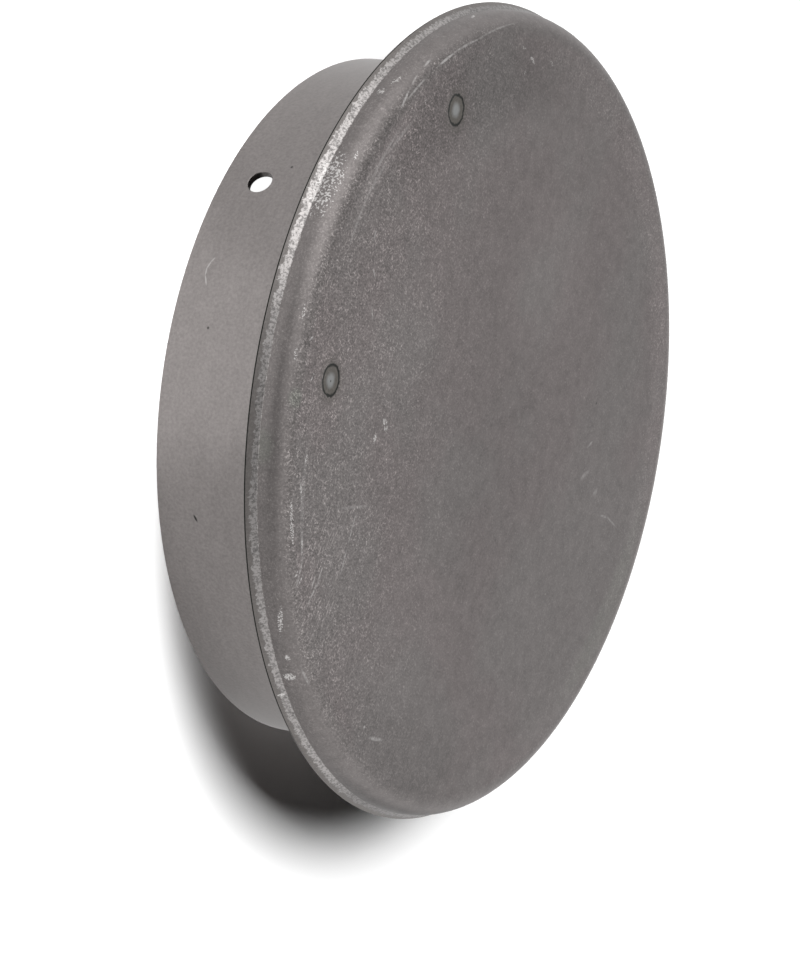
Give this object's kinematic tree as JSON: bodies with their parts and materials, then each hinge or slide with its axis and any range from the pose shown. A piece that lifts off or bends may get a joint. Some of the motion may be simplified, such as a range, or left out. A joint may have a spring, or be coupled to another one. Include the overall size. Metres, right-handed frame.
{
  "type": "stovepipe blanking cap",
  "caption": "Round pressed steel cover with a rounded shoulder and trimmed lip, tack-welded to a short collar that pushes into the open end of a stovepipe to close it off.",
  "frame": {"origin": "centre of the collar's open end, on the surface that the cap stands on", "axes": "+Z along the collar's axis towards the cover's face, -Y out through the screw hole"},
  "size_m": [0.178, 0.178, 0.0382],
  "materials": {
    "cover_steel": "bare rolled sheet, dull and finely scuffed",
    "collar_steel": "bare rolled sheet, smooth and dull"
  },
  "bodies": {
    "root": {"cover_disc": "cover_steel", "collar": "collar_steel"}
  },
  "joints": []
}
